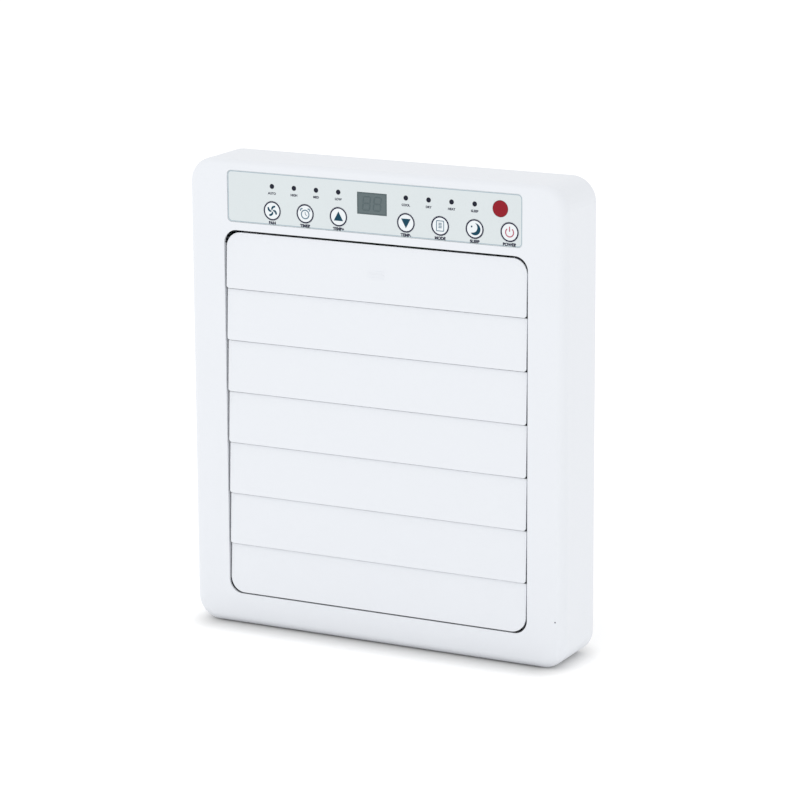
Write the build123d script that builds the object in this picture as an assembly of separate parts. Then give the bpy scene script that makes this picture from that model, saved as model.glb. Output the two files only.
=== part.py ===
"""Slim window air conditioner: a flat all-in-one unit with a tilting louvre door.

Frame: X to the right seen from the front, Y towards the back, Z up. The origin is the
middle of the underside. Every size is in millimetres. Each function makes one sub-part.
"""
from build123d import *
import math
import os

# ---- driving dimensions ---------------------------------------------------------------
HEIGHT = 500.0
WIDTH = 433.0
DEPTH = 72.0
CORNER_R = 26.0         # corners of the casing seen from the front
FRONT_FILLET = 9.0      # rolled edge all round the front face
WALL = 2.5              # moulded casing
SHEET = 1.2             # sheet steel of the chassis

# louvre opening in the front face
SIDE_BORDER = 41.5
BOTTOM_BORDER = 34.0
HEADER = 73.0           # from the top of the opening to the top of the casing
OPEN_R = 15.0
RETURN_T = 1.5          # upright walls turned in along the opening's sides
RETURN_DEPTH = 9.0

# louvres
LOUVRES = 7
LOUVRE_T = 2.0
LOUVRE_STEP = 2.4       # how far each lower edge stands proud of the next louvre
LOUVRE_INSET = 0.4      # lower edges sit this far behind the front face
TOP_LOUVRE_H = 59.5
BOTTOM_LOUVRE_H = 53.0
SIDE_GAP = 2.0
TOP_GAP = 2.8
BOTTOM_GAP = 1.5
SEAM = 1.0              # open line between two louvres
LIP_RISE = 2.5          # the light-stop lip reaches this far above the seam
LIP_T = 1.5
LOUVRE_CORNER_R = 3.0
PIVOT_DEPTH = 13.0      # pivot line behind the front face
TOP_PIVOT_DROP = 4.0
PIN_R = 1.5
PIN_CLEAR = 0.05
LINK_CLEAR = 0.3        # slack of the tie bar's other holes
CRANK = 8.0             # crank pin behind the pivot
EAR_T = 3.0

# door frame behind the louvres
RAIL_W = 7.0
RAIL_D = 10.0
RAIL_SET = 10.0         # rail's outer side inside the opening's edge
BAR_D = 5.0
BAR_H = 12.0
HINGE_DEPTH = 5.0       # hinge line behind the front face
HINGE_RISE = 12.0       # hinge line above the opening's lower edge
LATCH_X = 4.0
LATCH_TRAVEL = 2.5

# control panel
PANEL_BORDER = 47.0     # casing side to panel end
PANEL_TOP = 10.0        # casing top to panel top
PANEL_H = 54.6
PANEL_R = 5.0
PANEL_RECESS = 0.6
PANEL_T = 0.8
PANEL_SHIFT = -0.8
KEY_R = 10.1
KEY_GAP = 0.25
KEY_END = 14.4          # panel end to the last key's centre
KEY_DROP = 39.4         # panel top to the keys' centre line: keys sit low on the panel
LED_R = 2.4
LED_DROP = 13.9
DISPLAY_W = 33.6
DISPLAY_H = 22.2
DISPLAY_DROP = 23.0
RECEIVER_R = 8.4
RECEIVER_DROP = 16.5
RECEIVER_END = 24.7

# working parts
CORE_INSET = 26.5       # front of the machinery behind the front face
SHELF_Z = 150.0
TOP_SHELF_DROP = 90.0
EVAP_T = 22.0
EVAP_PITCH = 21.0       # most height for one tube: sets the reach of the U-bends
EVAP_FINS = 20
TUBE_R = 3.5
COND_T = 20.0
COND_ROWS = 6
COND_FINS = 16
FIN_T = 0.5
BLOWER_GAP = 3.0
BLOWER_BLADES = 24
FAN_R = 48.0
FAN_BLADES = 5
SHAFT_R = 2.5
PIPE_R = 3.0
SCREW_R = 2.0
MOUNT_SIDE = 26.0       # wall-bracket holes in from the casing's sides
MOUNT_END = 40.0        # and from its top and bottom
MOUNT_R = 2.75
LOW_SCREW_DROP = 25.0   # lowest rear screws below the middle shelf
DRAIN_R = 5.0
DRAIN_SIDE = 36.0
DRAIN_Z = 17.0

# ---- worked-out places ----------------------------------------------------------------
FRONT = -DEPTH / 2
BACK = DEPTH / 2
WALL_IN = FRONT + WALL
INNER_X = WIDTH / 2 - WALL
OPEN_X = WIDTH / 2 - SIDE_BORDER
OPEN_Z0 = BOTTOM_BORDER
OPEN_Z1 = HEIGHT - HEADER
LOUVRE_X = OPEN_X - SIDE_GAP
STACK_Z0 = OPEN_Z0 + BOTTOM_GAP
STACK_Z1 = OPEN_Z1 - TOP_GAP
PITCH = (STACK_Z1 - STACK_Z0 - TOP_LOUVRE_H - BOTTOM_LOUVRE_H) / (LOUVRES - 2)
SEAMS = [STACK_Z1 - TOP_LOUVRE_H - k * PITCH for k in range(LOUVRES - 1)]
PIVOT_Y = FRONT + PIVOT_DEPTH
PIVOT_Z = [STACK_Z1 - TOP_PIVOT_DROP] + SEAMS
CRANK_Y = PIVOT_Y + CRANK
RAIL_X1 = OPEN_X - RAIL_SET
RAIL_X0 = RAIL_X1 - RAIL_W
RAIL_Y0 = PIVOT_Y - 3.0
RAIL_Y1 = RAIL_Y0 + RAIL_D
EAR_X1 = RAIL_X0 - 2.0
EAR_X0 = EAR_X1 - EAR_T
HINGE_Y = FRONT + HINGE_DEPTH
HINGE_Z = OPEN_Z0 + HINGE_RISE
LUG_X0 = OPEN_X + 2.0
LUG_X1 = LUG_X0 + 5.0
BAR_Y1 = RAIL_Y0 + BAR_D
TOP_BAR_Z = PIVOT_Z[0] - 29.0
MID_BAR_Z = SEAMS[LOUVRES // 2] + 6.0
PANEL_X = WIDTH / 2 - PANEL_BORDER
PANEL_Z1 = HEIGHT - PANEL_TOP
PANEL_Y0 = FRONT + PANEL_RECESS
PANEL_Y1 = PANEL_Y0 + PANEL_T
KEY_PITCH = (PANEL_X - KEY_END) / 4
LED_PITCH = KEY_PITCH * 2 / 3
KEY_Z = PANEL_Z1 - KEY_DROP
BOARD_Y = FRONT + 9.0
CORE_Y0 = FRONT + CORE_INSET
CORE_Y1 = BACK - SHEET
SHELF_X = INNER_X - 1.0
TOP_SHELF_Z = HEIGHT - TOP_SHELF_DROP
COIL_X = OPEN_X - 13.0
EVAP_Z0 = SHELF_Z + 74.0
EVAP_Z1 = TOP_SHELF_Z - 18.0
EVAP_ROWS = 2 * math.ceil((EVAP_Z1 - EVAP_Z0) / EVAP_PITCH / 2 - 1e-6)
BLOWER_R = (CORE_Y1 - CORE_Y0) / 2 - BLOWER_GAP - 1.5
BLOWER_Y = (CORE_Y0 + CORE_Y1) / 2
BLOWER_Z = SHELF_Z + SHEET + BLOWER_GAP + 2.0 + BLOWER_R
BLOWER_X0 = -COIL_X + 14.0
BLOWER_X1 = COIL_X - 44.0
PAN_Z = WALL + 0.2
COND_Y1 = CORE_Y1 - 2.0
COND_Y0 = COND_Y1 - COND_T
COND_X0 = -INNER_X + 42.0
COND_X1 = COND_X0 + 230.0
COND_Z0 = PAN_Z + 10.0
COND_Z1 = SHELF_Z - 10.0
FAN_X = (COND_X0 + COND_X1) / 2
FAN_Z = (COND_Z0 + COND_Z1) / 2
COMPRESSOR_R = (CORE_Y1 - CORE_Y0) / 2 - 2.2
COMPRESSOR_X = INNER_X - 64.0

KEYS = {"key_fan": -3, "key_timer": -2, "key_temp_up": -1, "key_temp_down": 1,
        "key_mode": 2, "key_sleep": 3, "key_power": 4}


# ---- helpers --------------------------------------------------------------------------
def block(x0, x1, y0, y1, z0, z1):
    """Box between two corners."""
    return Pos((x0 + x1) / 2, (y0 + y1) / 2, (z0 + z1) / 2) * Box(x1 - x0, y1 - y0, z1 - z0)


def cyl_x(x0, x1, y, z, r):
    return Pos((x0 + x1) / 2, y, z) * Rot(0, 90, 0) * Cylinder(r, x1 - x0)


def cyl_y(x, y0, y1, z, r):
    return Pos(x, (y0 + y1) / 2, z) * Rot(90, 0, 0) * Cylinder(r, y1 - y0)


def cyl_z(x, y, z0, z1, r):
    return Pos(x, y, (z0 + z1) / 2) * Cylinder(r, z1 - z0)


def slab(sketch, y0, y1, x=0.0, z=0.0):
    """Extrude a front-view sketch (local x to +X, local y to +Z) from y0 back to y1."""
    plane = Plane((x, y1, z), x_dir=(1, 0, 0), z_dir=(0, -1, 0))
    return extrude(plane * sketch, amount=y1 - y0)


def prism_x(points, x0, x1):
    """Extrude a side-view polygon of (y, z) points from x0 to x1."""
    plane = Plane((x0, 0, 0), x_dir=(0, 1, 0), z_dir=(1, 0, 0))
    return extrude(plane * Polygon(*points, align=None), amount=x1 - x0, dir=(1, 0, 0))


def pipe(points, radii, r):
    """Round bar swept along straight runs joined by arcs."""
    path = FilletPolyline(*points, radius=radii)
    start = Plane(path @ 0, z_dir=path % 0)
    return sweep(start * Circle(r), path=path)


def join(pieces):
    """Fuse a list of touching solids into one."""
    whole = pieces[0]
    for piece in pieces[1:]:
        whole = whole + piece
    return whole


def group(pieces):
    """Keep separate solids together in one node."""
    solids = []
    for piece in pieces:
        solids.extend(piece.solids())
    return Compound(children=solids)


# ---- casing and panels ----------------------------------------------------------------
def casing_outline(inset):
    radius = CORNER_R - inset
    return RectangleRounded(WIDTH - 2 * inset, HEIGHT - 2 * inset, radius)


def panel_points():
    """Front-view centres of everything that shows through the control panel."""
    places = {}
    for name, slot in KEYS.items():
        places[name] = (PANEL_SHIFT + slot * KEY_PITCH, KEY_Z)
    for side in (-1, 1):
        for k in range(4):
            x = PANEL_SHIFT + side * (KEY_PITCH + k * LED_PITCH)
            places[f"led_{side}_{k}"] = (x, PANEL_Z1 - LED_DROP)
    places["display"] = (PANEL_SHIFT, PANEL_Z1 - DISPLAY_DROP)
    places["receiver"] = (PANEL_SHIFT + PANEL_X - RECEIVER_END, PANEL_Z1 - RECEIVER_DROP)
    return places


def panel_cuts(y0, y1, slack):
    """Cutters for the keys, lamps, display and receiver, from y0 to y1."""
    cuts = []
    for name, (x, z) in panel_points().items():
        if name.startswith("key"):
            cuts.append(cyl_y(x, y0, y1, z, KEY_R + slack))
        elif name.startswith("led"):
            cuts.append(cyl_y(x, y0, y1, z, LED_R + slack))
        elif name == "display":
            cuts.append(block(x - DISPLAY_W / 2 - slack, x + DISPLAY_W / 2 + slack, y0, y1,
                              z - DISPLAY_H / 2 - slack, z + DISPLAY_H / 2 + slack))
        else:
            cuts.append(cyl_y(x, y0, y1, z, RECEIVER_R + slack))
    return cuts


def board_posts():
    """Front-view centres of the control board's four posts."""
    x = PANEL_X - 6.0
    return [(sx * x, z) for sx in (-1, 1) for z in (PANEL_Z1 - PANEL_H + 4.0, PANEL_Z1 - 5.0)]


def front_casing():
    """One-piece moulded shell: front face, top, sides and underside, open at the back."""
    shell = slab(casing_outline(0), FRONT, BACK, z=HEIGHT / 2)
    shell = fillet(shell.faces().sort_by(Axis.Y)[0].edges(), FRONT_FILLET)
    hollow = slab(casing_outline(WALL), WALL_IN, BACK + 1, z=HEIGHT / 2)
    hollow = fillet(hollow.faces().sort_by(Axis.Y)[0].edges(), FRONT_FILLET - WALL)
    shell = shell - hollow
    opening = RectangleRounded(2 * OPEN_X, OPEN_Z1 - OPEN_Z0, OPEN_R)
    shell = shell - slab(opening, FRONT - 1, WALL_IN + 1, z=(OPEN_Z0 + OPEN_Z1) / 2)
    recess = RectangleRounded(2 * PANEL_X, PANEL_H, PANEL_R)
    shell = shell - slab(recess, FRONT - 1, PANEL_Y1, x=PANEL_SHIFT, z=PANEL_Z1 - PANEL_H / 2)
    for cut in panel_cuts(FRONT, WALL_IN + 1, KEY_GAP):
        shell = shell - cut
    for x, z in board_posts():
        shell = shell + cyl_y(x, WALL_IN - 0.5, BOARD_Y, z, 3.0)
    for sx in (-1, 1):
        x0, x1 = sorted((sx * OPEN_X, sx * (OPEN_X + RETURN_T)))
        shell = shell + block(x0, x1, WALL_IN - 0.5, FRONT + RETURN_DEPTH,
                              OPEN_Z0 + OPEN_R, OPEN_Z1 - OPEN_R)
        lug = block(min(sx * LUG_X0, sx * LUG_X1), max(sx * LUG_X0, sx * LUG_X1),
                    WALL_IN - 0.5, HINGE_Y + 4.0, HINGE_Z - 4.5, HINGE_Z + 4.5)
        bore = cyl_x(-LUG_X1 - 1, LUG_X1 + 1, HINGE_Y, HINGE_Z, PIN_R + PIN_CLEAR)
        shell = shell + (lug - bore)
    for x, z in rear_screw_places():
        x0, x1 = sorted((x - math.copysign(5, x), math.copysign(INNER_X + 0.5, x)))
        boss = block(x0, x1, BACK - SHEET - 16, BACK - SHEET, z - 5, z + 5)
        shell = shell + (boss - cyl_y(x, BACK - SHEET - 17, BACK, z, SCREW_R))
    return shell


def vent_slots(x0, x1, z0, z1, width=4.0, pitch=8.0):
    """Upright rounded slots that fill a rectangle of the rear panel."""
    count = int((x1 - x0 - width) // pitch) + 1
    start = (x0 + x1 - (count - 1) * pitch) / 2
    slot = RectangleRounded(width, z1 - z0, width / 2 - 0.05)
    return [slab(slot, BACK - SHEET - 1, BACK + 1, x=start + k * pitch, z=(z0 + z1) / 2)
            for k in range(count)]


def mount_holes():
    x = WIDTH / 2 - MOUNT_SIDE
    return [(sx * x, z) for sx in (-1, 1) for z in (MOUNT_END, HEIGHT - MOUNT_END)]


def rear_screw_places():
    x = INNER_X - 8.0
    return [(sx * x, z) for sx in (-1, 1) for z in (SHELF_Z - LOW_SCREW_DROP, HEIGHT / 2, HEIGHT * 0.75)]


def rear_panel():
    """Sheet-steel back with its outdoor vents, bracket holes, inlet and drain cut-outs."""
    panel = slab(casing_outline(WALL + 0.3), BACK - SHEET, BACK, z=HEIGHT / 2)
    cuts = vent_slots(COND_X0 + 6, COND_X1 - 4, COND_Z0 + 12, COND_Z1 - 12)
    cuts += vent_slots(COMPRESSOR_X - 36, COMPRESSOR_X + 36, COND_Z0 + 34, COND_Z1 - 12)
    cuts += vent_slots(-COIL_X + 10, COIL_X - 10, TOP_SHELF_Z + 60, TOP_SHELF_Z + 74)
    for x, z in mount_holes():
        cuts.append(cyl_y(x, BACK - SHEET - 1, BACK + 1, z, MOUNT_R))
    for x, z in rear_screw_places():
        cuts.append(cyl_y(x, BACK - SHEET - 1, BACK + 1, z, SCREW_R + 0.2))
    cuts.append(cyl_y(-WIDTH / 2 + DRAIN_SIDE, BACK - SHEET - 1, BACK + 1, DRAIN_Z, DRAIN_R + 3.2))
    ix, iz = inlet_place()
    cuts.append(block(ix - 14.2, ix + 14.2, BACK - SHEET - 1, BACK + 1, iz - 10.2, iz + 10.2))
    for cut in cuts:
        panel = panel - cut
    return panel


def inlet_place():
    """Front-view centre of the power inlet."""
    return COIL_X - 30.0, TOP_SHELF_Z + 26.0


def rear_screws():
    """Screws that hold the rear panel, with heads just inside its face."""
    screws = []
    for x, z in rear_screw_places():
        shank = cyl_y(x, BACK - SHEET - 10, BACK - SHEET + 0.2, z, SCREW_R - 0.1)
        head = cyl_y(x, BACK - SHEET + 0.1, BACK - 0.1, z, SCREW_R + 0.15)
        screws.append(shank + head - block(x - 1.6, x + 1.6, BACK - 0.6, BACK, z - 0.3, z + 0.3))
    return screws


def base_pan():
    """Folded tray that carries the outdoor side and catches its water."""
    y0 = CORE_Y0 + SHEET + 0.3
    y1 = CORE_Y1 - 0.3
    x = WIDTH / 2 - CORNER_R
    tray = block(-x, x, y0, y1, PAN_Z, PAN_Z + SHEET)
    for sx in (-1, 1):
        rim_x = sx * (x - SHEET / 2)
        tray = tray + block(rim_x - SHEET / 2, rim_x + SHEET / 2, y0, y1, PAN_Z, PAN_Z + 7)
    drain_x = -WIDTH / 2 + DRAIN_SIDE
    rear = block(-x, x, y1 - SHEET, y1, PAN_Z, PAN_Z + 7)
    rear = rear - block(drain_x - 9, drain_x + 9, y1 - 2, y1 + 1, PAN_Z + SHEET, PAN_Z + 8)
    return tray + rear


def front_bulkhead():
    """Upright plate between the room air behind the louvres and the outdoor side."""
    plate = block(-INNER_X, INNER_X, CORE_Y0, CORE_Y0 + SHEET, PAN_Z, SHELF_Z)
    return plate & slab(casing_outline(WALL + 0.3), CORE_Y0 - 1, CORE_Y1, z=HEIGHT / 2)


def pipe_holes(z0, z1):
    """Clearance holes for the two refrigerant lines that cross the middle shelf."""
    return [cyl_z(COIL_X + 12, CORE_Y0 + 12, z0, z1, PIPE_R + 2.0),
            cyl_z(COIL_X + 26, CORE_Y0 + 12, z0, z1, PIPE_R + 2.0),
            cyl_z(-COIL_X - 8, CORE_Y0 + 8, z0, z1, 5.0)]


def middle_shelf():
    """Insulated floor of the indoor side."""
    shelf = block(-SHELF_X, SHELF_X, CORE_Y0, CORE_Y1 - 0.2, SHELF_Z, SHELF_Z + SHEET)
    for hole in pipe_holes(SHELF_Z - 1, SHELF_Z + SHEET + 1):
        shelf = shelf - hole
    return shelf


def top_shelf():
    """Lid of the indoor side and floor of the electronics bay."""
    return block(-SHELF_X, SHELF_X, CORE_Y0, CORE_Y1 - 0.2, TOP_SHELF_Z, TOP_SHELF_Z + SHEET)


# ---- louvre door ----------------------------------------------------------------------
def louvre(index):
    """Leaning plate with end ears, pivot pins, a back lip and, on the left, a crank."""
    top = STACK_Z1 if index == 0 else SEAMS[index - 1] - SEAM
    low = SEAMS[index] if index < LOUVRES - 1 else STACK_Z0
    y_low = FRONT + LOUVRE_INSET
    y_top = y_low + LOUVRE_STEP
    plate = prism_x([(y_low, low), (y_top, top), (y_top + LOUVRE_T, top),
                     (y_low + LOUVRE_T, low)], -LOUVRE_X, LOUVRE_X)
    low_r = OPEN_R + 1.0 if index == LOUVRES - 1 else LOUVRE_CORNER_R
    top_r = OPEN_R + 1.0 if index == 0 else 0.8
    outline = Rectangle(2 * LOUVRE_X, top - low)
    outline = fillet(outline.vertices().group_by(Axis.Y)[0], low_r)
    outline = fillet(outline.vertices().group_by(Axis.Y)[-1], top_r)
    plate = plate & slab(outline, FRONT - 1, FRONT + 10, z=(top + low) / 2)

    pivot_z = PIVOT_Z[index]
    pieces = [plate]
    if index > 0:
        y = y_top + LOUVRE_T - 0.2
        pieces.append(block(-EAR_X0 + 3, EAR_X0 - 3, y, y + LIP_T + 0.2, top - 5,
                            SEAMS[index - 1] + LIP_RISE))
    middle = (top + low) / 2 - 8
    pieces.append(block(-EAR_X0 + 3, EAR_X0 - 3, y_low + LOUVRE_T - 0.3, y_low + LOUVRE_T + 4,
                        middle - 0.8, middle + 0.8))
    for side in (-1, 1):
        x0, x1 = sorted((side * EAR_X0, side * EAR_X1))
        ear = prism_x([(FRONT + 3.9, pivot_z - 2), (FRONT + 3.9, pivot_z - 16),
                       (PIVOT_Y + 3.2, pivot_z - 2.5), (PIVOT_Y, pivot_z + 3.0)], x0, x1)
        pieces.append(ear)
        pieces.append(cyl_x(x0, x1, PIVOT_Y, pivot_z, 3.8))
        p0, p1 = sorted((side * (EAR_X1 - 0.5), side * (RAIL_X1 - 1.5)))
        pieces.append(cyl_x(p0, p1, PIVOT_Y, pivot_z, PIN_R))
    pieces.append(block(-EAR_X1, -EAR_X0, PIVOT_Y, CRANK_Y, pivot_z - 3, pivot_z + 3))
    pieces.append(cyl_x(-EAR_X1, -EAR_X0, CRANK_Y, pivot_z, 3.0))
    pieces.append(cyl_x(-EAR_X0 - 0.5, -EAR_X0 + 5.5, CRANK_Y, pivot_z, PIN_R))
    return join(pieces)


def tie_bar():
    """Flat link that joins the seven cranks; the top hole is its bearing."""
    x0 = -EAR_X0 + 0.6
    bar = block(x0, x0 + 4.0, CRANK_Y - 3, CRANK_Y + 3, PIVOT_Z[-1] - 4.5, PIVOT_Z[0] + 3.5)
    for index, z in enumerate(PIVOT_Z):
        slack = PIN_CLEAR if index == 0 else LINK_CLEAR
        bar = bar - cyl_x(x0 - 1, x0 + 5, CRANK_Y, z, PIN_R + slack)
    return bar


def door_frame():
    """Rails and cross bars that carry the louvres, with the hinge pins and the strike."""
    z0 = HINGE_Z - 5.0
    z1 = PIVOT_Z[0] + 3.5
    pieces = []
    for side in (-1, 1):
        x0, x1 = sorted((side * RAIL_X0, side * RAIL_X1))
        rail = block(x0, x1, RAIL_Y0, RAIL_Y1, z0, z1)
        outer_top = rail.edges().filter_by(Axis.Y).group_by(Axis.Z)[-1].sort_by(Axis.X)
        rail = chamfer(outer_top[0 if side < 0 else -1], 4.0)
        for z in PIVOT_Z:
            rail = rail - cyl_x(x0 - 1, x1 + 1, PIVOT_Y, z, PIN_R + PIN_CLEAR)
        pieces.append(rail)
        pieces.append(block(x0, x1, HINGE_Y - 1.6, RAIL_Y0 + 0.5, HINGE_Z - 4, HINGE_Z + 4))
        p0, p1 = sorted((side * (RAIL_X1 - 0.5), side * (LUG_X1 - 0.5)))
        pieces.append(cyl_x(p0, p1, HINGE_Y, HINGE_Z, PIN_R))
    for bar_z in (z0, MID_BAR_Z, TOP_BAR_Z):
        pieces.append(block(-RAIL_X0 - 0.5, RAIL_X0 + 0.5, RAIL_Y0, BAR_Y1, bar_z, bar_z + BAR_H))
    pieces.append(block(LATCH_X - 8, LATCH_X + 8, BAR_Y1 - 0.5, BAR_Y1 + 6,
                        TOP_BAR_Z + BAR_H - 5, TOP_BAR_Z + BAR_H))
    return join(pieces)


def louvre_motor():
    """Small stepper on the left rail that turns the fourth louvre."""
    x = -RAIL_X1
    z = PIVOT_Z[LOUVRES // 2]
    can = cyl_x(x - 6.3, x, PIVOT_Y, z, 6.0)
    shaft = cyl_x(x - 0.5, x + 1.2, PIVOT_Y, z, PIN_R - 0.2)
    return can + shaft


FILTER_X0 = -EAR_X0 + 8.5
FILTER_X1 = EAR_X0 - 3.0
FILTER_Z0 = MID_BAR_Z + 4.0
FILTER_Z1 = TOP_BAR_Z + BAR_H - 6.0
FILTER_D = 4.0


def filter_frame():
    """Slide-out frame clipped to the back of the door, with cross ribs for the mesh."""
    y0, y1 = BAR_Y1, BAR_Y1 + FILTER_D
    outer = block(FILTER_X0, FILTER_X1, y0, y1, FILTER_Z0, FILTER_Z1)
    inner = block(FILTER_X0 + 6, FILTER_X1 - 6, y0 - 1, y1 + 1, FILTER_Z0 + 6, FILTER_Z1 - 6)
    frame = outer - inner
    span = FILTER_X1 - FILTER_X0
    for k in range(1, 5):
        x = FILTER_X0 + span * k / 5
        frame = frame + block(x - 1, x + 1, y1 - 1.4, y1, FILTER_Z0 + 1, FILTER_Z1 - 1)
    rise = FILTER_Z1 - FILTER_Z0
    for k in range(1, 3):
        z = FILTER_Z0 + rise * k / 3
        frame = frame + block(FILTER_X0 + 1, FILTER_X1 - 1, y1 - 1.4, y1, z - 1, z + 1)
    return frame


def filter_mesh():
    """Washable net stretched in the frame."""
    y = BAR_Y1 + FILTER_D - 2.2
    return block(FILTER_X0 + 6.1, FILTER_X1 - 6.1, y, y + 0.7, FILTER_Z0 + 6.1, FILTER_Z1 - 6.1)


LATCH_Z0 = TOP_BAR_Z + BAR_H - 5.5
LATCH_Z1 = TOP_BAR_Z + BAR_H + 0.5
PLUNGER_Y0 = BAR_Y1 + 6.2


def latch_body():
    """Push-latch housing under the top shelf, open towards the door."""
    body = block(LATCH_X - 12, LATCH_X + 12, CORE_Y0 + 1, CORE_Y0 + 22, LATCH_Z0 - 4, TOP_SHELF_Z)
    bore = block(LATCH_X - 4.1, LATCH_X + 4.1, CORE_Y0, CORE_Y0 + 18,
                 LATCH_Z0 - 0.1, LATCH_Z1 + 0.1)
    return body - bore


def latch_plunger():
    """Sprung catch that the door pushes in by a few millimetres."""
    bar = block(LATCH_X - 4, LATCH_X + 4, PLUNGER_Y0, CORE_Y0 + 12, LATCH_Z0, LATCH_Z1)
    return chamfer(bar.faces().sort_by(Axis.Y)[0].edges(), 0.8)


def latch_spring():
    """Compression spring behind the plunger."""
    y0 = CORE_Y0 + 12 + LATCH_TRAVEL + 0.2
    coil = Helix(pitch=0.9, height=CORE_Y0 + 17.8 - y0, radius=1.8)
    section = Plane(coil @ 0, z_dir=coil % 0) * Circle(0.2)
    wire = sweep(section, path=coil, is_frenet=True)
    return Pos(LATCH_X, CORE_Y0 + 17.8, (LATCH_Z0 + LATCH_Z1) / 2) * Rot(90, 0, 0) * wire


# ---- control panel --------------------------------------------------------------------
def control_panel():
    """Satin overlay set into a shallow recess of the front face."""
    outline = RectangleRounded(2 * PANEL_X - 0.5, PANEL_H - 0.5, PANEL_R - 0.25)
    panel = slab(outline, PANEL_Y0, PANEL_Y1, x=PANEL_SHIFT, z=PANEL_Z1 - PANEL_H / 2)
    for cut in panel_cuts(PANEL_Y0 - 1, PANEL_Y1 + 1, KEY_GAP):
        panel = panel - cut
    return panel


def key(name):
    """Round key cap with a flange behind the front wall and a stem to its switch."""
    x, z = panel_points()[name]
    cap = cyl_y(x, PANEL_Y0, WALL_IN + 0.3, z, KEY_R)
    flange = cyl_y(x, WALL_IN + 0.2, WALL_IN + 1.2, z, KEY_R + 1.4)
    stem = cyl_y(x, WALL_IN + 1.0, BOARD_Y - 4.4, z, 3.0)
    return cap + flange + stem


def lamp_lenses():
    """Eight indicator lenses on their light pipes."""
    lenses = []
    for name, (x, z) in panel_points().items():
        if name.startswith("led"):
            lenses.append(cyl_y(x, PANEL_Y0, BOARD_Y - 2.0, z, LED_R))
    return group(lenses)


def board_parts():
    """What stands on the board: a lamp, switch or receiver behind each window and key."""
    parts = []
    for name, (x, z) in panel_points().items():
        if name.startswith("led"):
            parts.append(block(x - 1.5, x + 1.5, BOARD_Y - 1.6, BOARD_Y, z - 1.2, z + 1.2))
        elif name.startswith("key"):
            body = block(x - 3, x + 3, BOARD_Y - 3.2, BOARD_Y, z - 3, z + 3)
            parts.append(body + cyl_y(x, BOARD_Y - 3.8, BOARD_Y - 3.1, z, 1.7))
        elif name == "receiver":
            parts.append(block(x - 3, x + 3, BOARD_Y - 3.2, BOARD_Y, z - 3.5, z + 3.5))
    return group(parts)


def display_lens():
    """Smoked window flush with the overlay."""
    x, z = panel_points()["display"]
    return block(x - DISPLAY_W / 2, x + DISPLAY_W / 2, PANEL_Y0 + 0.1, WALL_IN - 0.5,
                 z - DISPLAY_H / 2, z + DISPLAY_H / 2)


def display_module():
    """Two-digit display on the board."""
    x, z = panel_points()["display"]
    return block(x - DISPLAY_W / 2 + 1, x + DISPLAY_W / 2 - 1, WALL_IN - 0.4, BOARD_Y,
                 z - DISPLAY_H / 2 + 1, z + DISPLAY_H / 2 - 1)


def receiver_lens():
    """Round infra-red window with a shallow dome."""
    x, z = panel_points()["receiver"]
    disc = cyl_y(x, PANEL_Y0 - 0.3, BOARD_Y - 3.5, z, RECEIVER_R)
    return fillet(disc.faces().sort_by(Axis.Y)[0].edges(), 0.6)


def control_board():
    """Printed board behind the panel."""
    z0, z1 = PANEL_Z1 - PANEL_H, PANEL_Z1 - 1.0
    board = block(-PANEL_X, PANEL_X, BOARD_Y, BOARD_Y + 1.6, z0, z1)
    for x, z in board_posts():
        board = board - cyl_y(x, BOARD_Y - 1, BOARD_Y + 3, z, 1.3)
    chip_x, chip_z = 0.0, z0 + 14.0
    board = board + block(chip_x - 9, chip_x + 9, BOARD_Y + 1.5, BOARD_Y + 3.4,
                          chip_z - 7, chip_z + 7)
    return board


def board_screws():
    """Four screws through the control board into the casing posts."""
    screws = []
    for x, z in board_posts():
        head = cyl_y(x, BOARD_Y + 1.6, BOARD_Y + 3.2, z, 2.4)
        screws.append(head + cyl_y(x, BOARD_Y, BOARD_Y + 2, z, 1.2))
    return screws


# ---- indoor side ----------------------------------------------------------------------
def tube_grid(rows, y0, y1, z0, z1):
    """Centres (y, z) of two staggered columns of coil tubes."""
    pitch = (z1 - z0) / rows
    columns = []
    for column, y in enumerate((y0 + (y1 - y0) * 0.27, y0 + (y1 - y0) * 0.73)):
        shift = 0.25 if column == 0 else -0.25
        columns.append([(y, z0 + (k + 0.5 + shift) * pitch) for k in range(rows)])
    return columns


def fin_stack(count, x0, x1, y0, y1, z0, z1, rows):
    """Thin plates with a hole for every tube."""
    holes = [point for column in tube_grid(rows, y0, y1, z0, z1) for point in column]
    plane = Plane((0, 0, 0), x_dir=(0, 1, 0), z_dir=(1, 0, 0))
    face = Pos((y0 + y1) / 2, (z0 + z1) / 2) * Rectangle(y1 - y0, z1 - z0)
    for y, z in holes:
        face = face - Pos(y, z) * Circle(TUBE_R + 0.08)
    fin = extrude(plane * face, amount=FIN_T)
    step = (x1 - x0 - FIN_T) / (count - 1)
    return group([Pos(x0 + k * step, 0, 0) * fin for k in range(count)])


def serpentine(points, x0, x1):
    """One tube that runs back and forth along X and climbs a column of points."""
    pieces = []
    for y, z in points:
        pieces.append(cyl_x(x0, x1, y, z, TUBE_R))
    for k in range(len(points) - 1):
        (ya, za), (yb, zb) = points[k], points[k + 1]
        at_right = k % 2 == 1
        x = x1 if at_right else x0
        section = Plane((x, ya, za), x_dir=(0, 1, 0), z_dir=(1, 0, 0)) * Circle(TUBE_R)
        axis = Axis((x, (ya + yb) / 2, (za + zb) / 2), (0, -1 if at_right else 1, 0))
        pieces.append(revolve(section, axis, revolution_arc=180))
    return join(pieces)


EVAP_Y0 = CORE_Y0 + 1.5
EVAP_Y1 = EVAP_Y0 + EVAP_T
EVAP_X = COIL_X - 22.0


def evaporator_fins():
    return fin_stack(EVAP_FINS, -EVAP_X, EVAP_X, EVAP_Y0, EVAP_Y1, EVAP_Z0, EVAP_Z1, EVAP_ROWS)


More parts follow.
